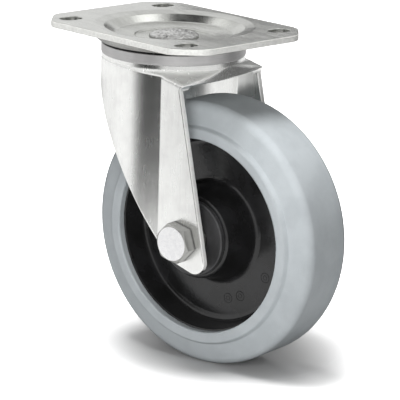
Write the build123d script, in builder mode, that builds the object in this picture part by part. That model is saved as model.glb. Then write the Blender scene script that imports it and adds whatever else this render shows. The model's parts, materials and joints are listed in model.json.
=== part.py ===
from build123d import *
import os
from math import copysign, cos, radians, sin, sqrt, tan

os.makedirs("parts", exist_ok=True)

# A swivel castor with a mounting plate, all in millimetres.
# The origin is the centre of the plate's top face, on the swivel axis, with +Z up.
# X runs along the plate's short side and Y along its long side.

# Top plate
plate_width = 110.0
plate_length = 140.0
sheet = 4.0
corner_clip = 16.5
corner_round = 12.0
slot_spacing_x = 78.0
slot_spacing_y = 105.0
slot_length = 15.0
slot_width = 11.0
edge_round = 0.6

# Dish pressed into the plate's centre, as radii and depths below the top face
dish_mouth_radius = 50.0
dish_wall_radius = 43.0
dish_floor_radius = 37.0
dish_floor_depth = 5.5
dish_step_radius = 24.6
dish_step_depth = 7.5
dish_root_radius = 54.0
dish_rim_radius = 46.0
dish_rim_depth = 9.6
dish_brim_drop = 1.2
dish_step_draft = 0.6
dish_step_edge = 0.9

# Swivel head
kingpin_radius = 10.0
rivet_head_radius = 15.5
rivet_crown_depth = 4.3
rivet_slope_depth = 5.2
rivet_edge_depth = 6.4
rivet_edge_width = 3.5
pin_flange_radius = 15.0
pin_end = -33.0
cup_radius = 28.0
cup_wall = 3.0
cup_lip = -22.4
cup_race = -26.0
cup_floor = -30.0
head_ring_radius = 45.0
ring_wall = 3.3
head_ring_top = -10.7
crown_top = -17.2
running_gap = 0.15

upper_ball_radius = 4.75
upper_ball_pitch = 36.0
upper_ball_level = -13.3
upper_ball_count = 20
upper_cage_half_width = 5.2
lower_ball_radius = 3.2
lower_ball_pitch = 21.0
lower_ball_level = -23.6
lower_ball_count = 14
lower_cage_half_width = 3.7
cage_sheet = 1.2

# Fork, stored turned about the swivel axis, with the axle trailing behind it
fork_turn = 8.4
trail = 40.5
axle_drop = 123.0
crown_hole_radius = 14.0
neck_radius = 44.4
neck_blend = 5.0
shoulder_slope = 22.0
shoulder_round = 3.0
crown_radius = 45.0
flank_radius = 50.5
flank_turn = 25.0
leg_half_span = 41.0
crease_round = 3.0
lip_reach = 44.9
lip_bend_radius = 180.0
lip_corner_round = 2.4
lip_inner_round = 1.0
lip_bottom = -27.5
lip_opening_round = 3.0
back_lip_bottom = -30.0
back_lip_round = 8.0
sheet_edge_round = 0.8

# Side outline of a leg, as distances behind the swivel axis and levels
front_edge_top = 37.2
foot_front = (62.3, -145.7)
foot_front_round = 8.0
foot_rear = (28.6, -135.0)
foot_rear_round = 12.0
rear_edge_top = -36.9

# Wheel
wheel_radius = 82.7
tread_corner = 18.7
tread_round = 6.0
tyre_half_width = 25.5
tyre_bore_radius = 60.8
side_band_radius = 67.3
band_step = 1.5
band_step_depth = 3.0
rim_half_width = 20.7
rim_seat_radius = 64.5
barrel_radius = 59.8
web_half_thickness = 4.5
web_barrel_radius = 57.5
boss_radius = 31.5
hub_end_radius = 25.8
hub_half_width = 27.0
cap_radius = 24.0
cap_half_width = 30.1
cap_bore = 12.4

# Axle and roller bearing
bolt_radius = 7.0
bolt_hole_radius = 7.25
hexagon_width = 22.0
bolt_head_height = 8.0
nut_height = 11.0
tube_radius = 10.0
collar_radius = 12.0
roller_radius = 2.5
roller_length = 42.0
roller_count = 12
roller_gap = 0.05
cage_half_length = 22.8
cage_wall = 1.8
pocket_gap = 0.2
sleeve_thickness = 2.4
sleeve_half_length = 25.0
washer_gap = 0.3
washer_thickness = 1.6
collar_gap = 0.5
hexagon_turn = 12.0
hexagon_bevel = 30.0
face_share = 0.95
bolt_end = 54.5
thread_bevel = 1.2
nut_collar_radius = 9.6
nut_collar_height = 3.4
tube_fit = 0.1
end_chamfer = 0.4

across = Vector(cos(radians(fork_turn)), sin(radians(fork_turn)), 0)
rearward = Vector(sin(radians(fork_turn)), -cos(radians(fork_turn)), 0)
axle_centre = rearward * trail - Vector(0, 0, axle_drop)
upright = Plane.XZ
plan_view = Plane(origin=(0, 0, 0), x_dir=rearward, z_dir=(0, 0, 1))
side_view = Plane(origin=(0, 0, 0), x_dir=rearward, z_dir=across * -1)
wheel_section = Plane(origin=axle_centre, x_dir=across, z_dir=rearward)
wheel_face = Plane(origin=axle_centre, x_dir=rearward * -1, z_dir=across)
axle_line = Axis(axle_centre, across)


def keep(piece, label):
    """Label a finished piece and write it as its own STEP file."""
    piece.part.label = label
    export_step(piece.part, f"parts/{label}.step")


# ---------------------------------------------------------------- top plate

underside = -sheet
dish_inner_depth = dish_step_depth + sheet

with BuildPart() as top_plate:
    with BuildSketch(Plane.XY.offset(underside)):
        Rectangle(plate_width, plate_length)
        chamfer(vertices(), corner_clip)
        fillet(vertices(), corner_round)
        with GridLocations(slot_spacing_x, slot_spacing_y, 2, 2):
            SlotOverall(slot_length, slot_width, mode=Mode.SUBTRACT)
    extrude(amount=sheet)
    plate_rims = edges().filter_by(Plane.XY)
    fillet(plate_rims, edge_round)
    with BuildSketch():
        Circle(dish_root_radius)
    extrude(amount=underside, mode=Mode.SUBTRACT)
    # the dish: a gentle mouth, a steep wall, a flat floor and a shallow step around the pin
    with BuildSketch(upright):
        with BuildLine():
            FilletPolyline(
                (kingpin_radius, -dish_step_depth),
                (dish_step_radius - dish_step_draft, -dish_step_depth),
                (dish_step_radius, -dish_floor_depth - dish_step_edge),
                (dish_floor_radius, -dish_floor_depth),
                (dish_wall_radius, -dish_brim_drop),
                (dish_mouth_radius, 0),
                (dish_root_radius, 0),
                (dish_root_radius, underside),
                (dish_rim_radius, -dish_rim_depth),
                (dish_step_radius + sheet, -dish_rim_depth),
                (dish_step_radius, -dish_inner_depth),
                (kingpin_radius, -dish_inner_depth),
                radius=[0, 0.5, 0.5, 2.5, 3, 6, 0, 0, 2, 1, 1, 0],
                close=True,
            )
        make_face()
    revolve(axis=Axis.Z)
    # upper half of the large ball race
    with BuildSketch(upright):
        with Locations((upper_ball_pitch, upper_ball_level)):
            Circle(upper_ball_radius + running_gap)
    revolve(axis=Axis.Z, mode=Mode.SUBTRACT)
keep(top_plate, "top_plate")

# ------------------------------------------------------------- swivel head

with BuildPart() as kingpin:
    with BuildSketch(upright):
        with BuildLine():
            FilletPolyline(
                (0, -rivet_crown_depth),
                (rivet_head_radius - rivet_edge_width, -rivet_slope_depth),
                (rivet_head_radius, -rivet_edge_depth),
                (rivet_head_radius, -dish_step_depth),
                (kingpin_radius, -dish_step_depth),
                (kingpin_radius, cup_floor),
                (pin_flange_radius, cup_floor),
                (pin_flange_radius, pin_end),
                (0, pin_end),
                radius=[0, 1.5, 0.6, 0, 0, 0, 0, 1.2, 0],
                close=True,
            )
        make_face()
    revolve(axis=Axis.Z)
keep(kingpin, "kingpin")

with BuildPart() as lower_race_cup:
    with BuildSketch(upright):
        with BuildLine():
            FilletPolyline(
                (kingpin_radius, cup_floor),
                (cup_radius, cup_floor),
                (cup_radius, cup_lip),
                (cup_radius - cup_wall, cup_lip),
                (cup_radius - cup_wall, cup_race),
                (kingpin_radius, cup_race),
                radius=[0, 3.5, 0.6, 0.6, 0, 0],
                close=True,
            )
        make_face()
        with Locations((lower_ball_pitch, lower_ball_level)):
            Circle(lower_ball_radius + running_gap, mode=Mode.SUBTRACT)
    revolve(axis=Axis.Z)
keep(lower_race_cup, "lower_race_cup")

with BuildPart() as upper_balls:
    with PolarLocations(upper_ball_pitch, upper_ball_count):
        with Locations((0, 0, upper_ball_level)):
            Sphere(upper_ball_radius)
keep(upper_balls, "upper_balls")

with BuildPart() as lower_balls:
    with PolarLocations(lower_ball_pitch, lower_ball_count):
        with Locations((0, 0, lower_ball_level)):
            Sphere(lower_ball_radius)
keep(lower_balls, "lower_balls")


def ball_cage(pitch, half_width, ball, count, level):
    """A flat ring that spaces a race's balls, at their own level, with one round window for each."""
    with BuildPart() as cage:
        with BuildSketch(Plane.XY.offset(level - cage_sheet / 2)):
            Circle(pitch + half_width)
            Circle(pitch - half_width, mode=Mode.SUBTRACT)
            with PolarLocations(pitch, count):
                Circle(ball + running_gap, mode=Mode.SUBTRACT)
        extrude(amount=cage_sheet)
    return cage


upper_ball_cage = ball_cage(
    upper_ball_pitch, upper_cage_half_width, upper_ball_radius, upper_ball_count, upper_ball_level
)
keep(upper_ball_cage, "upper_ball_cage")
lower_ball_cage = ball_cage(
    lower_ball_pitch, lower_cage_half_width, lower_ball_radius, lower_ball_count, lower_ball_level
)
keep(lower_ball_cage, "lower_ball_cage")

with BuildPart() as head_ring:
    with BuildSketch(upright):
        with Locations((head_ring_radius - ring_wall / 2, (head_ring_top + crown_top) / 2)):
            Rectangle(ring_wall, head_ring_top - crown_top)
        fillet(vertices(), edge_round)
    revolve(axis=Axis.Z)
keep(head_ring, "head_ring")

# --------------------------------------------------------------------- fork

lip_centre = lip_reach - lip_bend_radius
leg_front = 66.0
leg_bottom = -150.0
margin = 5.0
flank_start = radians(flank_turn)
flank_centre_reach = (flank_radius - crown_radius) * sin(flank_start)
flank_centre_span = (flank_radius - crown_radius) * cos(flank_start)


def crease_reach(inset):
    """How far ahead of the swivel axis the flanks meet the flats."""
    flank = flank_radius - inset
    flat = leg_half_span - inset
    return flank_centre_reach + sqrt(flank**2 - (flat + flank_centre_span) ** 2)


def draw_back(inset):
    """Lines of the round back and of the fuller flanks, as far as the creases."""
    back = crown_radius - inset
    reach = -back * sin(flank_start)
    half = back * cos(flank_start)
    crease = crease_reach(inset)
    flat = leg_half_span - inset
    TangentArc((reach, half), (crease, flat), tangent=(cos(flank_start), sin(flank_start)))
    ThreePointArc((reach, half), (-back, 0), (reach, -half))
    TangentArc((reach, -half), (crease, -flat), tangent=(cos(flank_start), -sin(flank_start)))


def crown_outline(inset, corner_round, height):
    """Round back, full flanks, creased flats and bowed front lip of the crown, drawn inset."""
    flat = leg_half_span - inset
    crease = crease_reach(inset)
    lip = lip_bend_radius - inset
    corner = lip_centre + sqrt(lip**2 - flat**2)
    with BuildSketch(plan_view.offset(height)) as outline:
        with BuildLine():
            draw_back(inset)
            Line((crease, -flat), (corner, -flat))
            ThreePointArc((corner, -flat), (lip_centre + lip, 0), (corner, flat))
            Line((corner, flat), (crease, flat))
        make_face()
        fillet(vertices().sort_by(Axis.X)[2:4], crease_round)
        fillet(vertices().sort_by(Axis.X)[-2:], corner_round)
    return outline.sketch


def leg_outline(inset, height):
    """The same back and flats, with the flats running on past the legs' front edges."""
    flat = leg_half_span - inset
    crease = crease_reach(inset)
    with BuildSketch(plan_view.offset(height)) as outline:
        with BuildLine():
            draw_back(inset)
            Polyline((crease, -flat), (leg_front, -flat), (leg_front, flat), (crease, flat))
        make_face()
        fillet(vertices().sort_by(Axis.X)[2:4], crease_round)
    return outline.sketch


shoulder_start = crown_top - 4.45
shoulder_fall = tan(radians(shoulder_slope))
shoulder_end = shoulder_start - (leg_front - neck_radius) * shoulder_fall
crown_under = crown_top - sheet
hollow_radius = neck_radius - sheet
shoulder_under = shoulder_start - sheet / cos(radians(shoulder_slope)) + sheet * shoulder_fall
shoulder_under_end = shoulder_under - (leg_front - hollow_radius) * shoulder_fall
corner_depth = lip_bottom - lip_opening_round
span = Axis((0, 0, 0), across)

# the inside of the folded sheet: between the legs, behind the lip, under the shoulder and the neck
with BuildPart() as fork_hollow:
    extrude(
        to_extrude=crown_outline(sheet, lip_inner_round, crown_under),
        amount=corner_depth - crown_under,
    )
    extrude(to_extrude=leg_outline(sheet, corner_depth), amount=leg_bottom - corner_depth)
    with BuildSketch(upright):
        with BuildLine():
            Polyline(
                (hollow_radius, crown_under + margin),
                (hollow_radius, shoulder_under),
                (leg_front, shoulder_under_end),
                (leg_front, crown_under + margin),
                close=True,
            )
        make_face()
    revolve(axis=Axis.Z, mode=Mode.SUBTRACT)
    with BuildSketch(Plane.XY.offset(crown_under)):
        Circle(hollow_radius)
    extrude(amount=shoulder_under - crown_under)

with BuildPart() as fork:
    extrude(
        to_extrude=crown_outline(0, lip_corner_round, crown_top),
        amount=corner_depth - crown_top,
    )
    # the neck, its blend and the sloping shoulder, as one turned cut round the crown
    with BuildSketch(upright):
        with BuildLine():
            FilletPolyline(
                (neck_radius, crown_top + margin),
                (neck_radius, shoulder_start),
                (leg_front, shoulder_end),
                (leg_front, crown_top + margin),
                radius=[0, neck_blend, 0, 0],
                close=True,
            )
        make_face()
    revolve(axis=Axis.Z, mode=Mode.SUBTRACT)
    # roll the shoulder over into the legs and the lip; only its level arc at the back stays sharp
    shoulder_edges = edges().filter_by_position(Axis.Z, shoulder_start - margin, shoulder_start)
    fillet(shoulder_edges.filter_by(lambda edge: edge.bounding_box().size.Z > 0.1), shoulder_round)
    extrude(to_extrude=leg_outline(0, corner_depth), amount=leg_bottom - corner_depth)
    add(fork_hollow.part, mode=Mode.SUBTRACT)
    # side outline: short lip in front, raked front edge, round foot, slanted rear edge, short back lip
    with BuildSketch(side_view):
        with BuildLine():
            FilletPolyline(
                (-crown_radius - margin, crown_top + margin),
                (lip_reach + margin, crown_top + margin),
                (lip_reach + margin, lip_bottom),
                (front_edge_top, lip_bottom),
                foot_front,
                foot_rear,
                (rear_edge_top, back_lip_bottom),
                (-crown_radius - margin, back_lip_bottom),
                radius=[0, 0, 0, lip_opening_round, foot_front_round, foot_rear_round, back_lip_round, 0],
                close=True,
            )
        make_face()
    extrude(amount=crown_radius + margin, both=True, mode=Mode.INTERSECT)
    # ease the legs' outer edges
    cut_edges = edges(Select.NEW).filter_by_position(Axis.Z, leg_bottom, back_lip_bottom - margin)
    near_edges = cut_edges.filter_by_position(span, -crown_radius - margin, 0.1 - leg_half_span)
    far_edges = cut_edges.filter_by_position(span, leg_half_span - 0.1, crown_radius + margin)
    fillet(near_edges + far_edges, sheet_edge_round)
    # hole round the kingpin, both ball races and the bolt holes
    with BuildSketch(Plane.XY.offset(crown_top)):
        Circle(crown_hole_radius)
    extrude(amount=-sheet, mode=Mode.SUBTRACT)
    with BuildSketch(upright):
        with Locations((upper_ball_pitch, upper_ball_level)):
            Circle(upper_ball_radius + running_gap)
        with Locations((lower_ball_pitch, lower_ball_level)):
            Circle(lower_ball_radius + running_gap)
    revolve(axis=Axis.Z, mode=Mode.SUBTRACT)
    with BuildSketch(wheel_face):
        Circle(bolt_hole_radius)
    extrude(amount=leg_half_span + margin, both=True, mode=Mode.SUBTRACT)
keep(fork, "fork")

# -------------------------------------------------------------------- wheel

shoulder_seat_radius = side_band_radius + band_step
shoulder_half_width = tyre_half_width - band_step_depth

with BuildPart() as tyre:
    with BuildSketch(wheel_section):
        with BuildLine():
            FilletPolyline(
                (0, rim_seat_radius),
                (rim_half_width, rim_seat_radius),
                (rim_half_width, tyre_bore_radius),
                (tyre_half_width, tyre_bore_radius),
                (tyre_half_width, side_band_radius),
                (shoulder_half_width, shoulder_seat_radius),
                (tread_corner, wheel_radius),
                (0, wheel_radius),
                radius=[0, 0, 0, 1.2, 1.5, 1, tread_round, 0],
                close=True,
            )
        make_face()
        mirror(about=Plane.YZ)
    revolve(axis=axle_line)
keep(tyre, "tyre")

sleeve_bore = tube_radius + 2 * (roller_radius + roller_gap)
sleeve_radius = sleeve_bore + sleeve_thickness

with BuildPart() as rim:
    with BuildSketch(wheel_section):
        with BuildLine():
            FilletPolyline(
                (0, sleeve_radius),
                (hub_half_width, sleeve_radius),
                (hub_half_width, hub_end_radius),
                (web_half_thickness, boss_radius),
                (web_half_thickness, web_barrel_radius),
                (rim_half_width, barrel_radius),
                (rim_half_width, rim_seat_radius),
                (0, rim_seat_radius),
                radius=[0, 0, 2, 4, 4, 1, 0, 0],
                close=True,
            )
        make_face()
        mirror(about=Plane.YZ)
    revolve(axis=axle_line)
keep(rim, "rim")

with BuildPart() as bearing_sleeve:
    with BuildSketch(wheel_section):
        with Locations((0, (sleeve_bore + sleeve_radius) / 2)):
            Rectangle(2 * sleeve_half_length, sleeve_thickness)
        chamfer(vertices(), end_chamfer)
    revolve(axis=axle_line)
keep(bearing_sleeve, "bearing_sleeve")

roller_pitch = tube_radius + roller_gap + roller_radius

with BuildPart() as bearing_rollers:
    with BuildSketch(wheel_face.offset(-roller_length / 2)):
        with PolarLocations(roller_pitch, roller_count):
            Circle(roller_radius)
    extrude(amount=roller_length)
keep(bearing_rollers, "bearing_rollers")

with BuildPart() as roller_cage:
    with BuildSketch(wheel_face.offset(-cage_half_length)):
        Circle(roller_pitch + cage_wall)
        Circle(roller_pitch - cage_wall, mode=Mode.SUBTRACT)
    extrude(amount=2 * cage_half_length)
    with BuildSketch(wheel_face.offset(-roller_length / 2 - pocket_gap)):
        with PolarLocations(roller_pitch, roller_count):
            Circle(roller_radius + pocket_gap)
    extrude(amount=roller_length + 2 * pocket_gap, mode=Mode.SUBTRACT)
keep(roller_cage, "roller_cage")

with BuildPart() as thrust_washers:
    for side in (-1, 1):
        with BuildSketch(wheel_face.offset(side * (cage_half_length + washer_gap))):
            Circle(sleeve_bore)
            Circle(tube_radius + washer_gap, mode=Mode.SUBTRACT)
        extrude(amount=side * washer_thickness)
keep(thrust_washers, "thrust_washers")


def hub_cap(side):
    """A flat cap with a spigot that closes the sleeve's end; side is -1 near the bolt head, else 1."""
    with BuildPart() as cap:
        with BuildSketch(wheel_section):
            with BuildLine():
                FilletPolyline(
                    (side * sleeve_half_length, cap_bore),
                    (side * sleeve_half_length, sleeve_radius),
                    (side * hub_half_width, sleeve_radius),
                    (side * hub_half_width, cap_radius),
                    (side * cap_half_width, cap_radius),
                    (side * cap_half_width, cap_bore),
                    radius=[0, 0, 0, 0, 1, 0.5],
                    close=True,
                )
            make_face()
        revolve(axis=axle_line)
    return cap


keep(hub_cap(-1), "hub_cap_near")
keep(hub_cap(1), "hub_cap_far")

# --------------------------------------------------------------------- axle

leg_inside = leg_half_span - sheet

with BuildPart() as axle_tube:
    with BuildSketch(wheel_face.offset(-leg_inside)):
        Circle(tube_radius)
        Circle(bolt_radius + tube_fit, mode=Mode.SUBTRACT)
    extrude(amount=2 * leg_inside)
    chamfer(edges().filter_by(GeomType.CIRCLE), end_chamfer)
keep(axle_tube, "axle_tube")

with BuildPart() as axle_collars:
    for side in (-1, 1):
        with BuildSketch(wheel_section):
            with BuildLine():
                Polyline(
                    (side * leg_inside, tube_radius),
                    (side * leg_inside, collar_radius),
                    (side * (sleeve_half_length + collar_gap), collar_radius),
                    (side * (sleeve_half_length + collar_gap), tube_radius),
                    close=True,
                )
            make_face()
        revolve(axis=axle_line)
keep(axle_collars, "axle_collars")


def hexagon_block(start, height):
    """A hexagon head or nut that grows along the axle from start, its outer corners turned off."""
    corner = hexagon_width / sqrt(3)
    flat_circle = face_share * hexagon_width / 2
    bevel_depth = (corner - flat_circle) * tan(radians(hexagon_bevel))
    outer = start + height
    shoulder = outer - copysign(bevel_depth, height)
    with BuildPart() as block:
        with BuildSketch(wheel_face.offset(start)):
            RegularPolygon(hexagon_width / 2, 6, major_radius=False, rotation=hexagon_turn)
        extrude(amount=height)
        with BuildSketch(wheel_section):
            with BuildLine():
                Polyline(
                    (start, 0),
                    (start, corner),
                    (shoulder, corner),
                    (outer, flat_circle),
                    (outer, 0),
                    close=True,
                )
            make_face()
        revolve(axis=axle_line, mode=Mode.INTERSECT)
    return block.part


bolt_head = hexagon_block(-leg_half_span, -bolt_head_height)

with BuildPart() as axle_bolt:
    add(bolt_head)
    with BuildSketch(wheel_face.offset(-leg_half_span)):
        Circle(bolt_radius)
    extrude(amount=leg_half_span + bolt_end)
    far_rim = edges().filter_by(GeomType.CIRCLE).sort_by(Axis(axle_centre, across))[-1]
    chamfer(far_rim, thread_bevel)
keep(axle_bolt, "axle_bolt")

nut_body = hexagon_block(leg_half_span, nut_height - nut_collar_height)
nut_foot = leg_half_span + nut_height - 2 * nut_collar_height

with BuildPart() as axle_nut:
    add(nut_body)
    with BuildSketch(wheel_section):
        with BuildLine():
            FilletPolyline(
                (nut_foot, 0),
                (nut_foot, nut_collar_radius),
                (leg_half_span + nut_height, nut_collar_radius),
                (leg_half_span + nut_height, 0),
                radius=[0, 0, 1.5, 0],
                close=True,
            )
        make_face()
    revolve(axis=axle_line)
    with BuildSketch(wheel_face.offset(leg_half_span)):
        Circle(bolt_radius)
    extrude(amount=nut_height, mode=Mode.SUBTRACT)
keep(axle_nut, "axle_nut")
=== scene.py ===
import json
from math import cos, pi, radians, sin
import bmesh
import bpy
from mathutils import Matrix, Vector, noise


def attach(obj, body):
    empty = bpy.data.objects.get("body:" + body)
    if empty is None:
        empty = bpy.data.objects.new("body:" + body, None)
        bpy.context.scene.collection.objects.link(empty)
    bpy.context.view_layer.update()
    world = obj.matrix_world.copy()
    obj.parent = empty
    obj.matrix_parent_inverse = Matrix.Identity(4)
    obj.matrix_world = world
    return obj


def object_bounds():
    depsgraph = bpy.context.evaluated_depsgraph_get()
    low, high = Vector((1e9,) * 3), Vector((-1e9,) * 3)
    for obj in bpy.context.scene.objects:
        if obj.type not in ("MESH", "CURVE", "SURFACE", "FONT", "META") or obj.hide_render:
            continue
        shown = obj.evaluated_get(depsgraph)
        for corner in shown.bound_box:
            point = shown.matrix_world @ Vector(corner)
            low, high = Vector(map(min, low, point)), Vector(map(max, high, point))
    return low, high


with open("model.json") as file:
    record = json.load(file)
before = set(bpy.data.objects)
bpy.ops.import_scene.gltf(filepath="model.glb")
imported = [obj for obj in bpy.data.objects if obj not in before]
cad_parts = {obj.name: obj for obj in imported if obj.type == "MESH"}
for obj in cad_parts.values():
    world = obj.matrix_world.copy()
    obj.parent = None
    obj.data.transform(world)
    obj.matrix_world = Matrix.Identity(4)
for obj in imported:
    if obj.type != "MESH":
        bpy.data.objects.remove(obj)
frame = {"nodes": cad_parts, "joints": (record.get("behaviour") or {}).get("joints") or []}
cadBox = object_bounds()
nodes = frame["nodes"]
joints = {joint["name"]: joint for joint in frame["joints"]}
upward = Vector((0, 0, 1))
axleCentre = Vector(joints["wheel_roll"]["pos_m"])
acrossFork = Vector(joints["wheel_roll"]["axis"])
rearward = acrossFork.cross(upward)
floorLevel = cadBox[0][2]
print("frame loaded, lowest point", round(floorLevel, 4))


# angles in degrees, distances in metres, lens and sensor in millimetres
cameraView = {
    "azimuth": -43.923,
    "elevation": 15.049,
    "roll": 1.595,
    "distance": 1.45273,
    "aside": -0.015909,
    "above": 0.108636,
    "lens": 211.5,
    "sensor": 36.0,
    "clipStart": 0.05,
}


def placeCamera():
    turn = radians(cameraView["azimuth"])
    lift = radians(cameraView["elevation"])
    roll = radians(cameraView["roll"])
    back = Vector((sin(turn) * cos(lift), -cos(turn) * cos(lift), sin(lift)))
    right = Vector((cos(turn), sin(turn), 0))
    up = back.cross(right)
    rightRolled = right * cos(roll) + up * sin(roll)
    upRolled = up * cos(roll) - right * sin(roll)
    place = back * cameraView["distance"]
    place -= rightRolled * cameraView["aside"] + upRolled * cameraView["above"]
    turned = Matrix((rightRolled, upRolled, back)).transposed().to_4x4()
    data = bpy.data.cameras.new("camera")
    data.lens = cameraView["lens"]
    data.sensor_width = cameraView["sensor"]
    data.clip_start = cameraView["clipStart"]
    camera = bpy.data.objects.new("camera", data)
    camera.matrix_world = Matrix.Translation(place) @ turned
    bpy.context.scene.collection.objects.link(camera)
    bpy.context.scene.camera = camera


placeCamera()
bpy.context.scene.view_settings.view_transform = "Standard"
print("camera placed")


def colour(tint):
    return (*tint, 1)


# a socket that takes part in plain arithmetic
class Wire:
    def __init__(self, bench, socket):
        self.bench = bench
        self.socket = socket

    def math(self, operation, *values):
        return self.bench.node("ShaderNodeMath", {"operation": operation}, dict(enumerate(values)))

    def __add__(self, other):
        return self.math("ADD", self, other)

    def __sub__(self, other):
        return self.math("SUBTRACT", self, other)

    def __rsub__(self, other):
        return self.math("SUBTRACT", other, self)

    def __mul__(self, other):
        return self.math("MULTIPLY", self, other)

    def __truediv__(self, other):
        return self.math("DIVIDE", self, other)

    __radd__ = __add__
    __rmul__ = __mul__

    def size(self):
        return self.math("ABSOLUTE", self)

    def root(self):
        return self.math("SQRT", self)

    def larger(self, other):
        return self.math("MAXIMUM", self, other)


# what every finish shares: a noise's middle, the noise of a grain, how far a normal turns on an edge that is
# lightened as wear and painted highlight, and how shut a corner is where its colour is darkened as painted
# shade
noiseMiddle = 0.5
grainNoise = {"scale": 1.0, "detail": 3.0, "roughness": 0.6}
edgeRubAndHighlight = {"samples": 6, "turned": (0.06, 0.40)}
creviceShade = {"samples": 8, "shut": (0.18, 0.55), "tint": (0.05, 0.05, 0.05)}


# the bench that makes the nodes of one material
class Bench:
    def __init__(self, tree):
        self.tree = tree
        self.tree.nodes.clear()

    def node(self, kind, settings=None, sockets=None, out=0):
        made = self.tree.nodes.new(kind)
        for key, value in (settings or {}).items():
            setattr(made, key, value)
        for key, value in (sockets or {}).items():
            if isinstance(value, Wire):
                self.tree.links.new(value.socket, made.inputs[key])
            else:
                made.inputs[key].default_value = value
        return Wire(self, made.outputs[out]) if made.outputs else None

    def place(self):
        return self.node("ShaderNodeTexCoord", out="Object")

    def axis(self, vector, letter):
        return self.node("ShaderNodeSeparateXYZ", None, {0: vector}, letter)

    def alike(self, first, second):
        return self.node("ShaderNodeVectorMath", {"operation": "DOT_PRODUCT"}, {0: first, 1: second}, "Value")

    def facing(self, direction):
        # how squarely the surface faces a direction of its body
        return self.alike(self.node("ShaderNodeTexCoord", out="Normal"), direction)

    def mottle(self, vector, scale, detail, roughness):
        sockets = {"Vector": vector, "Scale": scale, "Detail": detail, "Roughness": roughness}
        return self.node("ShaderNodeTexNoise", None, sockets)

    def grain(self, vector, stretch):
        # streaks: noise at a different scale along each axis
        stretched = self.node("ShaderNodeMapping", None, {"Vector": vector, "Scale": stretch})
        return self.mottle(stretched, **grainNoise)

    def spread(self, value, low, high):
        # 0 below low, 1 above high, smooth between
        settings = {"interpolation_type": "SMOOTHSTEP"}
        return self.node("ShaderNodeMapRange", settings, {"Value": value, "From Min": low, "From Max": high})

    def mixColour(self, factor, first, second):
        first, second = [colour(tint) if isinstance(tint, tuple) else tint for tint in (first, second)]
        sockets = {0: factor, 6: first, 7: second}  # 6 and 7 in, and 2 out, are the node's colour sockets
        return self.node("ShaderNodeMix", {"data_type": "RGBA"}, sockets, 2)

    def cloudyTint(self, finishing, clouds, grain):
        # the finish's dark and light, mixed by its clouds and its grain
        share = finishing["grainShare"]
        cloudy = self.spread(grain * share + clouds * (1.0 - share), *finishing["cloudRange"])
        return self.mixColour(cloudy, finishing["dark"], finishing["light"])

    def unevenRoughness(self, finishing, clouds, grain=None):
        # the finish's roughness, a little up and down with its clouds and its grain
        rough = finishing["roughness"] + (clouds - noiseMiddle) * finishing["cloudRoughness"]
        return rough + (grain - noiseMiddle) * finishing["grainRoughness"] if grain else rough

    def bump(self, height, distance, normal=None):
        sockets = {"Height": height, "Distance": distance}
        if normal:
            sockets["Normal"] = normal
        return self.node("ShaderNodeBump", None, sockets)

    def paintedShade(self, tint, reach, cover):
        # painted shade: the colour darkened in corners and gaps, where shade falls, and left as it is in the
        # open
        settings = {"samples": creviceShade["samples"]}
        clear = self.node("ShaderNodeAmbientOcclusion", settings, {"Distance": reach}, "AO")
        shut = self.spread(1.0 - clear, *creviceShade["shut"])
        return self.mixColour(shut * cover, tint, creviceShade["tint"])

    def edgesRubbedAndHighlit(self, width):
        # normals rolled over sharp edges, and how strongly they turn there: the mask that lightens edges as
        # rubbed wear and as a painted highlight
        rolled = self.node("ShaderNodeBevel", {"samples": edgeRubAndHighlight["samples"]}, {"Radius": width})
        flat = self.node("ShaderNodeNewGeometry", out="Normal")
        return rolled, self.spread(1.0 - self.alike(rolled, flat), *edgeRubAndHighlight["turned"])


def finish(name, build):
    material = bpy.data.materials.new(name)
    material.use_nodes = True
    bench = Bench(material.node_tree)
    surface = bench.node("ShaderNodeBsdfPrincipled", None, build(bench))
    bench.node("ShaderNodeOutputMaterial", None, {"Surface": surface})
    return material


# in every finish, clouds, skin, pits, speckle and fleck are a noise's scale, detail and roughness,
# grain is a scale along each axis, and a Range, Band or Facing is where a mask starts and is full
plateFinish = {
    "light": (0.56, 0.565, 0.54),
    "dark": (0.42, 0.425, 0.405),
    "edge": (0.93, 0.93, 0.90),
    "grain": (160.0, 18.0, 160.0),
    "clouds": (42.0, 4.0, 0.6),
    "pits": (900.0, 2.0, 0.6),
    "speckle": (420.0, 2.0, 0.7),
    "grainShare": 0.4,
    "cloudRange": (0.35, 0.65),
    "speckleRange": (0.38, 0.62),
    "speckleShare": 0.2,
    "halfSides": (0.055, 0.070),
    "sideBand": (0.95, 0.98),
    "cornerBand": (1.66, 1.70),
    "levelFacing": (0.45, 0.80),
    "rubbedAndHighlitCover": 0.5,
    "roughness": 0.24,
    "cloudRoughness": 0.16,
    "grainRoughness": 0.14,
    "edgeRoughness": 0.50,
    "edgeDulled": 0.65,
    "edgePits": 5.0,
    "bump": 0.00004,
    "edgeWidth": 0.0005,
}


def shearedEdge(bench, place):
    # the plate's upright outer faces, told from the slots and the dish by how far out they are
    sideways, lengthways = [
        bench.axis(place, letter).size() / half for letter, half in zip("XY", plateFinish["halfSides"])
    ]
    outside = bench.spread(sideways.larger(lengthways), *plateFinish["sideBand"])
    outside = outside.larger(bench.spread(sideways + lengthways, *plateFinish["cornerBand"]))
    return (1.0 - bench.spread(bench.facing(upward).size(), *plateFinish["levelFacing"])) * outside


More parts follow.
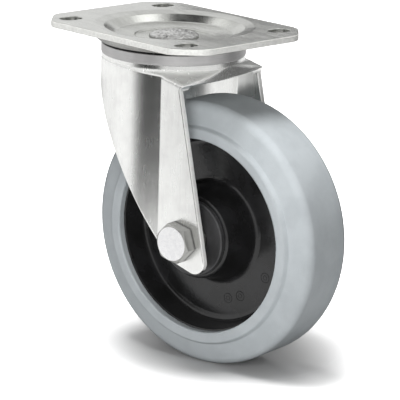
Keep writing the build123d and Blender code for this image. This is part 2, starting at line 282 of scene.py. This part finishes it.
def rolledPlate(bench):
    # rolled and zinc-plated sheet: grain along its length, cloudy plating, speckled sheared edges
    place = bench.place()
    grain = bench.grain(place, plateFinish["grain"])
    clouds = bench.mottle(place, *plateFinish["clouds"])
    pits = bench.mottle(place, *plateFinish["pits"])
    speckle = bench.spread(bench.mottle(place, *plateFinish["speckle"]), *plateFinish["speckleRange"])
    share = plateFinish["speckleShare"]
    sheared = shearedEdge(bench, place)
    rolled, rubbedAndHighlit = bench.edgesRubbedAndHighlit(plateFinish["edgeWidth"])
    tint = bench.cloudyTint(plateFinish, clouds, grain)
    tint = bench.mixColour(sheared * (1.0 - share + speckle * share), tint, plateFinish["edge"])
    # edges lightened as rubbed wear and as a painted highlight
    tint = bench.mixColour(rubbedAndHighlit * plateFinish["rubbedAndHighlitCover"], tint, plateFinish["edge"])
    rough = bench.unevenRoughness(plateFinish, clouds, grain)
    rough = rough + sheared * (plateFinish["edgeRoughness"] - rough)
    height = pits * (1.0 + sheared * plateFinish["edgePits"]) + grain
    return {
        "Base Color": tint,
        "Roughness": rough,
        "Metallic": 1.0 - sheared * plateFinish["edgeDulled"],
        "Normal": bench.bump(height, plateFinish["bump"], rolled),
    }


forkFinish = {
    "light": (0.96, 0.965, 0.945),
    "dark": (0.87, 0.87, 0.855),
    "edge": (0.96, 0.96, 0.94),
    "grain": (260.0, 260.0, 22.0),
    "clouds": (75.0, 5.0, 0.62),
    "skin": (1100.0, 2.0, 0.6),
    "speckle": (520.0, 2.0, 0.7),
    "grainShare": 0.35,
    "cloudRange": (0.36, 0.60),
    "speckleRange": (0.35, 0.65),
    "crownBand": (-0.0305, -0.0285),
    "cutFacing": (0.80, 0.92),
    "shoulderFacing": (0.15, 0.45),
    "rubbedAndHighlitCover": 0.2,
    "cutCover": 0.7,
    # how far and how strongly painted shade darkens the fork's colour in corners and gaps
    "paintedShadeReach": 0.0020,
    "paintedShadeCover": 0.45,
    "roughness": 0.27,
    "cloudRoughness": 0.02,
    "grainRoughness": 0.03,
    "cutRoughness": 0.55,
    "cutDulled": 0.9,
    "shoulderDulled": 0.60,
    "skinShare": 0.3,
    "cutSkin": 6.0,
    "bump": 0.00002,
    "edgeWidth": 0.0004,
}


def brightSheet(bench):
    # bright zinc over drawn sheet: upright grain, soft clouds, rubbed edges lightened also as a painted
    # highlight, duller shoulder and cut faces
    place = bench.place()
    grain = bench.grain(place, forkFinish["grain"])
    clouds = bench.mottle(place, *forkFinish["clouds"])
    skin = bench.mottle(place, *forkFinish["skin"])
    speckle = bench.spread(bench.mottle(place, *forkFinish["speckle"]), *forkFinish["speckleRange"])
    crown = bench.spread(bench.axis(place, "Z"), *forkFinish["crownBand"])
    cut = bench.spread(bench.facing(rearward).size(), *forkFinish["cutFacing"]) * (1.0 - crown)
    shoulder = bench.spread(bench.facing(upward), *forkFinish["shoulderFacing"]) * crown
    rolled, rubbedAndHighlit = bench.edgesRubbedAndHighlit(forkFinish["edgeWidth"])
    tint = bench.cloudyTint(forkFinish, clouds, grain)
    # edges lightened as rubbed wear and as a painted highlight
    tint = bench.mixColour(rubbedAndHighlit * forkFinish["rubbedAndHighlitCover"], tint, forkFinish["edge"])
    # painted shade: the fork's colour darkened in its corners and gaps
    tint = bench.paintedShade(tint, forkFinish["paintedShadeReach"], forkFinish["paintedShadeCover"])
    tint = bench.mixColour(cut * speckle * forkFinish["cutCover"], tint, forkFinish["edge"])
    rough = bench.unevenRoughness(forkFinish, clouds, grain)
    rough = rough + cut * (forkFinish["cutRoughness"] - rough)
    height = skin * (forkFinish["skinShare"] + cut * forkFinish["cutSkin"]) + grain
    metal = (1.0 - cut * forkFinish["cutDulled"]) * (1.0 - shoulder * forkFinish["shoulderDulled"])
    return {
        "Base Color": tint,
        "Roughness": rough,
        "Metallic": metal,
        "Normal": bench.bump(height, forkFinish["bump"], rolled),
    }


# what the turned and polished steels share, then what each has of its own
steelWork = {
    "clouds": (90.0, 3.0, 0.55),
    "grainShare": 0.5,
    "cloudRange": (0.36, 0.64),
    "endFacing": (0.86, 0.99),
    "rubbedAndHighlitCover": 0.8,
    # how far and how strongly painted shade darkens the steels' colour in corners and gaps
    "paintedShadeReach": 0.0035,
    "paintedShadeCover": 0.8,
    "cloudRoughness": 0.06,
    "grainRoughness": 0.08,
    "metallic": 1.0,
}
ringFinish = {
    "light": (0.60, 0.59, 0.59),
    "dark": (0.50, 0.495, 0.495),
    "edge": (0.80, 0.80, 0.80),
    "roughness": 0.42,
    "metallic": 0.55,
    "grain": (30.0, 30.0, 2600.0),
    "bump": 0.00004,
    "edgeWidth": 0.0004,
}
boltFinish = {
    "light": (0.94, 0.94, 0.94),
    "dark": (0.84, 0.84, 0.85),
    "edge": (0.97, 0.97, 0.97),
    # the sides' darker tint is painted shade, and the sides are also made less metallic
    "paintedSideShade": (0.31, 0.31, 0.29),
    "paintedSideShadeCover": 0.85,
    "sideDulled": 0.55,
    "roughness": 0.26,
    "grain": (420.0, 420.0, 420.0),
    "bump": 0.00004,
    "edgeWidth": 0.0005,
}
rivetFinish = {
    "light": (0.56, 0.56, 0.55),
    "dark": (0.26, 0.26, 0.25),
    "edge": (0.90, 0.90, 0.88),
    "roughness": 0.16,
    "grain": (700.0, 700.0, 700.0),
    "bump": 0.00006,
    "edgeWidth": 0.0004,
}
ballFinish = {
    "light": (0.80, 0.81, 0.83),
    "dark": (0.76, 0.77, 0.79),
    "edge": (0.85, 0.86, 0.88),
    "roughness": 0.10,
    "grain": (900.0, 900.0, 900.0),
    "bump": 0.000005,
    "edgeWidth": 0.0002,
}


def steel(ownSettings):
    # turned or polished steel in two close tints, with grain along the way it was worked
    settings = {**steelWork, **ownSettings}

    def build(bench):
        place = bench.place()
        grain = bench.grain(place, settings["grain"])
        clouds = bench.mottle(place, *settings["clouds"])
        rolled, rubbedAndHighlit = bench.edgesRubbedAndHighlit(settings["edgeWidth"])
        metal = settings["metallic"]
        tint = bench.cloudyTint(settings, clouds, grain)
        # edges lightened as rubbed wear and as a painted highlight
        tint = bench.mixColour(rubbedAndHighlit * settings["rubbedAndHighlitCover"], tint, settings["edge"])
        if "paintedSideShade" in settings:  # duller, and painted darker as shade, wherever it doesn't face along the axle
            shadedSides = 1.0 - bench.spread(bench.facing(acrossFork).size(), *settings["endFacing"])
            # painted shade: a darker tint on the sides
            tint = bench.mixColour(shadedSides * settings["paintedSideShadeCover"], tint, settings["paintedSideShade"])
            metal = metal - shadedSides * settings["sideDulled"]
        return {
            # painted shade: the colour darkened in corners and gaps
            "Base Color": bench.paintedShade(tint, settings["paintedShadeReach"], settings["paintedShadeCover"]),
            "Roughness": bench.unevenRoughness(settings, clouds, grain),
            "Metallic": metal,
            "Normal": bench.bump(grain, settings["bump"], rolled),
        }
    return build


tyreFinish = {
    "light": (0.53, 0.567, 0.587),
    "dark": (0.475, 0.510, 0.530),
    "clouds": (45.0, 4.0, 0.6),
    "skin": (1000.0, 3.0, 0.65),
    "fleck": (380.0, 2.0, 0.6),
    "cloudRange": (0.35, 0.65),
    "fleckRange": (0.60, 0.74),
    "fleckCover": 0.35,
    "roughness": 0.68,
    "cloudRoughness": 0.1,
    "shine": 0.2,
    "bump": 0.00010,
}


def tyreRubber(bench):
    # moulded grey rubber: faint clouds, dark flecks and a fine dusty skin
    place = bench.place()
    clouds = bench.mottle(place, *tyreFinish["clouds"])
    skin = bench.mottle(place, *tyreFinish["skin"])
    fleck = bench.spread(bench.mottle(place, *tyreFinish["fleck"]), *tyreFinish["fleckRange"])
    cloudy = bench.spread(clouds, *tyreFinish["cloudRange"])
    tint = bench.mixColour(cloudy, tyreFinish["dark"], tyreFinish["light"])
    return {
        "Base Color": bench.mixColour(fleck * tyreFinish["fleckCover"], tint, tyreFinish["dark"]),
        "Roughness": bench.unevenRoughness(tyreFinish, clouds),
        "Specular IOR Level": tyreFinish["shine"],
        "Normal": bench.bump(skin, tyreFinish["bump"]),
    }


# what the black mouldings share, then what each has of its own
mouldedWork = {
    "clouds": (70.0, 3.0, 0.5),
    "skin": (420.0, 2.0, 0.5),
    "cloudRange": (0.3, 0.7),
    "cloudRoughness": 0.10,
}
rimFinish = {
    "light": (0.020, 0.020, 0.021),
    "dark": (0.011, 0.011, 0.011),
    "roughness": 0.20,
    "bump": 0.00005,
}
capFinish = {
    "light": (0.060, 0.060, 0.062),
    "dark": (0.035, 0.035, 0.036),
    "roughness": 0.34,
    "bump": 0.00003,
}


def blackMoulding(ownSettings):
    # black nylon: faint flow clouds and a slightly uneven skin
    settings = {**mouldedWork, **ownSettings}

    def build(bench):
        place = bench.place()
        clouds = bench.mottle(place, *settings["clouds"])
        skin = bench.mottle(place, *settings["skin"])
        cloudy = bench.spread(clouds, *settings["cloudRange"])
        return {
            "Base Color": bench.mixColour(cloudy, settings["dark"], settings["light"]),
            "Roughness": bench.unevenRoughness(settings, clouds),
            "Normal": bench.bump(skin, settings["bump"]),
        }
    return build


cageFinish = {
    "light": (0.78, 0.76, 0.70),
    "dark": (0.70, 0.68, 0.62),
    "clouds": (120.0, 3.0, 0.5),
    "roughness": 0.5,
    "cloudRoughness": 0.1,
}


def palePlastic(bench):
    # the roller cage's plain nylon
    clouds = bench.mottle(bench.place(), *cageFinish["clouds"])
    return {
        "Base Color": bench.mixColour(clouds, cageFinish["dark"], cageFinish["light"]),
        "Roughness": bench.unevenRoughness(cageFinish, clouds),
    }


materials = {
    "plate": finish("platedPlate", rolledPlate),
    "fork": finish("brightFork", brightSheet),
    "ring": finish("satinRing", steel(ringFinish)),
    "bolt": finish("boltPlating", steel(boltFinish)),
    "rivet": finish("hammeredRivet", steel(rivetFinish)),
    "ball": finish("polishedSteel", steel(ballFinish)),
    "tyre": finish("greyRubber", tyreRubber),
    "rim": finish("blackRim", blackMoulding(rimFinish)),
    "cap": finish("blackCap", blackMoulding(capFinish)),
    "plastic": finish("paleCage", palePlastic),
}
nodeFinish = {
    "top_plate": "plate",
    "kingpin": "rivet",
    "lower_race_cup": "ring",
    "head_ring": "ring",
    "fork": "fork",
    "axle_bolt": "bolt",
    "axle_nut": "bolt",
    "axle_collars": "bolt",
    "axle_tube": "ball",
    "upper_balls": "ball",
    "lower_balls": "ball",
    "upper_ball_cage": "ring",
    "lower_ball_cage": "ring",
    "bearing_rollers": "ball",
    "bearing_sleeve": "ball",
    "thrust_washers": "ball",
    "roller_cage": "plastic",
    "hub_cap_near": "cap",
    "hub_cap_far": "cap",
    "rim": "rim",
    "tyre": "tyre",
}


def dress(mesh, key):
    mesh.materials.clear()
    mesh.materials.append(materials[key])
    mesh.polygons.foreach_set("use_smooth", [True] * len(mesh.polygons))


for name, key in nodeFinish.items():
    dress(nodes[name].data, key)
print("finishes made", len(materials))


# the small pieces that the CAD part leaves to the scene
def addPiece(name, bm, key, body):
    mesh = bpy.data.meshes.new(name)
    bmesh.ops.recalc_face_normals(bm, faces=bm.faces)
    bm.to_mesh(mesh)
    bm.free()
    dress(mesh, key)
    piece = bpy.data.objects.new(name, mesh)
    bpy.context.scene.collection.objects.link(piece)
    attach(piece, body)


def drawLine(bm, points):
    made = [bm.verts.new(point) for point in points]
    for first, second in zip(made, made[1:]):
        bm.edges.new((first, second))


# profile as radius and height
rivetFace = {
    "profile": (
        (0.0, -0.00405),
        (0.0090, -0.00445),
        (0.0122, -0.00500),
        (0.0152, -0.00600),
        (0.01565, -0.00745),
    ),
    "cuts": 9,
    "steps": 144,
    "merge": 0.00001,
    "dint": 0.00052,
    "dintScale": 420.0,
    "blowScale": 190.0,
    "blowShift": (7, 3, 1),
    "blowShare": 0.6,
    "fadeAt": 0.0152,
    "fadeOver": 0.002,
}


def makeRivetFace():
    # the pin's head, beaten down into the dish: a low dome covered in dints, calm at its rim
    bm = bmesh.new()
    drawLine(bm, [(reach, 0, level) for reach, level in rivetFace["profile"]])
    bmesh.ops.subdivide_edges(bm, edges=bm.edges[:], cuts=rivetFace["cuts"])
    bmesh.ops.spin(
        bm,
        geom=bm.verts[:] + bm.edges[:],
        cent=(0, 0, 0),
        axis=upward,
        angle=2 * pi,
        steps=rivetFace["steps"],
        use_merge=True,
    )
    bmesh.ops.remove_doubles(bm, verts=bm.verts, dist=rivetFace["merge"])
    for vert in bm.verts:
        blow = noise.noise(vert.co * rivetFace["blowScale"] + Vector(rivetFace["blowShift"]))
        dint = noise.noise(vert.co * rivetFace["dintScale"]) + rivetFace["blowShare"] * blow
        inside = (rivetFace["fadeAt"] - vert.co.xy.length) / rivetFace["fadeOver"]
        vert.co.z += dint * rivetFace["dint"] * min(1.0, max(0.0, inside))
    addPiece("rivet_face", bm, "rivet", "plate")


# from here on a piece is made round its own Z axis, and wheelFrame lays that axis along the axle
wheelTurn = Matrix((rearward, upward, acrossFork)).transposed().to_4x4()
wheelFrame = Matrix.Translation(axleCentre) @ wheelTurn

# radii of the thread, and its start along the axle from the wheel's middle
boltThread = {
    "root": 0.0064,
    "crest": 0.00715,
    "pitch": 0.0015,
    "start": 0.0509,
    "turns": 1.0,
    "steps": 48,
    "merge": 0.000001,
}


def makeBoltThread():
    # the end of the bolt's thread, showing past the nut
    bm = bmesh.new()
    root, crest, pitch, start = [boltThread[key] for key in ("root", "crest", "pitch", "start")]
    corners = ((root, start), (crest, start + pitch / 2), (root, start + pitch))
    bm.faces.new([bm.verts.new((reach, 0, level)) for reach, level in corners])
    bmesh.ops.spin(
        bm,
        geom=bm.faces[:],
        cent=(0, 0, 0),
        axis=upward,
        dvec=(0, 0, pitch / boltThread["steps"]),
        angle=2 * pi * boltThread["turns"],
        steps=int(boltThread["steps"] * boltThread["turns"]),
    )
    bmesh.ops.remove_doubles(bm, verts=bm.verts, dist=boltThread["merge"])
    bmesh.ops.transform(bm, matrix=wheelFrame, verts=bm.verts)
    addPiece("bolt_thread", bm, "bolt", "fork")


# places are rearward and up from the axle; each ring has its own radius and its wire's
mouldRings = {
    "places": ((0.01103, -0.04216), (0.02027, -0.03888), (0.03889, -0.02333)),
    "rings": ((0.0030, 0.00022), (0.00135, 0.000176)),
    "web": 0.0045,
    "steps": 40,
    "shadedSides": 8,
}


def makeRing(bm, centre, radius, wire, side):
    # a low moulded ring that stands on the web
    start = len(bm.verts)
    made = bmesh.ops.create_circle(bm, segments=mouldRings["shadedSides"], radius=wire)["verts"]
    bmesh.ops.rotate(bm, verts=made, cent=(0, 0, 0), matrix=Matrix.Rotation(pi / 2, 3, "X"))
    bmesh.ops.translate(bm, verts=made, vec=(radius, 0, 0))
    bmesh.ops.spin(
        bm,
        geom=made + list({edge for vert in made for edge in vert.link_edges}),
        cent=(0, 0, 0),
        axis=upward,
        angle=2 * pi,
        steps=mouldRings["steps"],
        use_merge=True,
    )
    bm.verts.ensure_lookup_table()
    bmesh.ops.translate(bm, verts=bm.verts[start:], vec=(*centre, side * mouldRings["web"]))


def makeMouldRings():
    bm = bmesh.new()
    for side in (-1, 1):
        for centre in mouldRings["places"]:
            for radius, wire in mouldRings["rings"]:
                makeRing(bm, centre, radius, wire, side)
    bmesh.ops.transform(bm, matrix=wheelFrame, verts=bm.verts)
    addPiece("mould_rings", bm, "rim", "wheel")


makeRivetFace()
makeBoltThread()
makeMouldRings()
print("pieces added")


# the studio: a pale floor and a white surround, soft lamps, and cards and discs that only gloss shows
# the floor's Bands are shares of shadowReach: inside the first the floor's colour is painted darker as a
# shadow, to the core's share of its brightness, and over the second it comes up to plain white
white = colour((1, 1, 1))
studio = {
    "floorTint": 0.33,
    "floorInGloss": 0.12,
    "floorSeen": 1.0,
    "floorSize": 30.0,
    "shadowCentre": (0.0187, -0.0363),
    "shadowTurn": -43.9,
    "shadowReach": (0.085, 0.075),
    "shadowBand": (0.5, 0.95),
    "paintedShadowCore": 0.66,
    "liftBand": (0.7, 1.5),
    "lift": 0.9,
    "liftInGloss": 0.88,
    "surround": 0.10,
    "backdrop": 1.0,
}


def seenBy(bench):
    # whether a ray comes from the camera, and whether it comes from gloss or glass
    kinds = ("Camera", "Glossy", "Transmission")
    camera, glossy, clear = [bench.node("ShaderNodeLightPath", out=f"Is {kind} Ray") for kind in kinds]
    return camera, glossy + clear


def makeSurround():
    world = bpy.data.worlds.new("surround")
    world.use_nodes = True
    bpy.context.scene.world = world
    bench = Bench(world.node_tree)
    camera, glossy = seenBy(bench)
    level = studio["surround"] + (camera + glossy) * (studio["backdrop"] - studio["surround"])
    glow = bench.node("ShaderNodeBackground", None, {"Color": white, "Strength": level})
    bench.node("ShaderNodeOutputWorld", None, {"Surface": glow})


def fromShadow(bench):
    # how far a spot of the floor is from the middle of the shadow, where 1 is the shadow's reach
    turn = radians(studio["shadowTurn"])
    place = bench.place()
    east, north = [bench.axis(place, letter) - middle for letter, middle in zip("XY", studio["shadowCentre"])]
    across, along = studio["shadowReach"]
    aside = (east * cos(turn) + north * sin(turn)) / across
    deep = (north * cos(turn) - east * sin(turn)) / along
    return (aside * aside + deep * deep).root()


def paleFloor():
    # plain white away from the shadow, with a painted shadow darkening its colour round the castor, and
    # darker in gloss than it looks
    material = bpy.data.materials.new("paleFloor")
    material.use_nodes = True
    bench = Bench(material.node_tree)
    camera, glossy = seenBy(bench)
    away = fromShadow(bench)
    tint = studio["floorTint"] + camera * (studio["floorSeen"] - studio["floorTint"])
    tint = tint + glossy * (studio["floorInGloss"] - studio["floorTint"])
    # painted shadow: the floor's colour darkened round the shadow's middle
    core = studio["paintedShadowCore"]
    tint = tint * (core + bench.spread(away, *studio["shadowBand"]) * (1.0 - core))
    matt = bench.node("ShaderNodeBsdfDiffuse", None, {"Color": tint})
    lift = camera * studio["lift"] + glossy * studio["liftInGloss"]
    lift = lift * bench.spread(away, *studio["liftBand"])
    glow = bench.node("ShaderNodeEmission", None, {"Strength": lift})
    both = bench.node("ShaderNodeAddShader", None, {0: matt, 1: glow})
    bench.node("ShaderNodeOutputMaterial", None, {"Surface": both})
    return material


def placed(name, bm, material):
    # an object of the studio, in the scene
    mesh = bpy.data.meshes.new(name)
    bm.to_mesh(mesh)
    bm.free()
    mesh.materials.append(material)
    made = bpy.data.objects.new(name, mesh)
    bpy.context.scene.collection.objects.link(made)
    return made


def makeFloor():
    bm = bmesh.new()
    bmesh.ops.create_grid(bm, x_segments=1, y_segments=1, size=studio["floorSize"])
    bmesh.ops.translate(bm, verts=bm.verts, vec=(0, 0, floorLevel))
    floor = placed("floor", bm, paleFloor())


lampTarget = (0, 0, -0.1)
lamps = {
    "above": {"place": (-0.127, 0.122, 1.25), "size": 0.55, "power": 24.0},
    "key": {"place": (-0.512, -0.440, -0.01), "size": 0.45, "power": 3.2},
    "fill": {"place": (0.55, 0.75, 0.50), "size": 0.60, "power": 3.0},
}


def turnedTo(place, target):
    # a frame at a place, with its Z axis away from a target
    away = Vector(place) - Vector(target)
    return Matrix.Translation(place) @ away.to_track_quat("Z", "Y").to_matrix().to_4x4()


def makeLamp(name, settings):
    data = bpy.data.lights.new(name, "AREA")
    data.size = settings["size"]
    data.energy = settings["power"]
    lamp = bpy.data.objects.new(name, data)
    lamp.visible_camera = False
    lamp.visible_glossy = False
    lamp.matrix_world = turnedTo(settings["place"], lampTarget)
    bpy.context.scene.collection.objects.link(lamp)


# upright strips bent round the castor: turns are degrees from +X, levels their lowest and highest
cardSteps = 60
cardRounds = {
    "aroundCastor": {
        "radius": 0.36,
        "levels": (-0.20, 0.10),
        "strips": {
            "softStart": {"turns": (163, 168), "glow": 0.45},
            "softMiddle": {"turns": (168, 174), "glow": 0.14},
            "cameraSide": {"turns": (174, 208), "glow": 0.02},
            "sideLight": {"turns": (208, 306), "glow": 0.75},
            "wheelSide": {"turns": (306, 350), "glow": 0.12},
        },
    },
    "behindWheel": {
        "radius": 0.17,
        "levels": (-0.205, -0.065),
        "strips": {
            "behindDark": {"turns": (30, 76), "glow": 0.34},
            "behindMiddle": {"turns": (76, 98), "glow": 0.66},
            "behindLight": {"turns": (98, 136), "glow": 0.90},
        },
    },
    "farOut": {
        "radius": 0.95,
        "levels": (-0.02, 0.22),
        "strips": {"horizon": {"turns": (-35, 46.5), "glow": 0.12}},
    },
}
# round cards that face the castor from above
discSides = 48
discs = {
    "overhead": {"place": (0.0, 0.32, 0.90), "size": 0.56, "glow": 0.03},
    "brightRear": {"place": (0.43, 0.03, 0.88), "size": 0.34, "glow": 2.4},
    "brightFar": {"place": (-0.03, 0.61, 0.66), "size": 0.30, "glow": 1.6},
}


def stageCard(name, bm, level):
    # a card glows in gloss alone
    material = bpy.data.materials.new(name)
    material.use_nodes = True
    bench = Bench(material.node_tree)
    glow = bench.node("ShaderNodeEmission", None, {"Color": white, "Strength": level})
    bench.node("ShaderNodeOutputMaterial", None, {"Surface": glow})
    card = placed(name, bm, material)
    card.visible_camera = False
    card.visible_diffuse = False
    card.visible_shadow = False


def makeStrip(name, reach, levels, settings):
    bm = bmesh.new()
    first, last = [radians(turn) for turn in settings["turns"]]
    drawLine(bm, [(reach * cos(first), reach * sin(first), level) for level in levels])
    bmesh.ops.spin(
        bm,
        geom=bm.verts[:] + bm.edges[:],
        cent=(0, 0, 0),
        axis=upward,
        angle=last - first,
        steps=cardSteps,
    )
    stageCard(name, bm, settings["glow"])


def makeDisc(name, settings):
    bm = bmesh.new()
    bmesh.ops.create_circle(bm, cap_ends=True, segments=discSides, radius=settings["size"] / 2)
    bmesh.ops.transform(bm, matrix=turnedTo(settings["place"], (0, 0, 0)), verts=bm.verts)
    stageCard(name, bm, settings["glow"])


makeSurround()
makeFloor()
for name, settings in lamps.items():
    makeLamp(name, settings)
for cardRound in cardRounds.values():
    for name, settings in cardRound["strips"].items():
        makeStrip(name, cardRound["radius"], cardRound["levels"], settings)
for name, settings in discs.items():
    makeDisc(name, settings)
print("studio made")
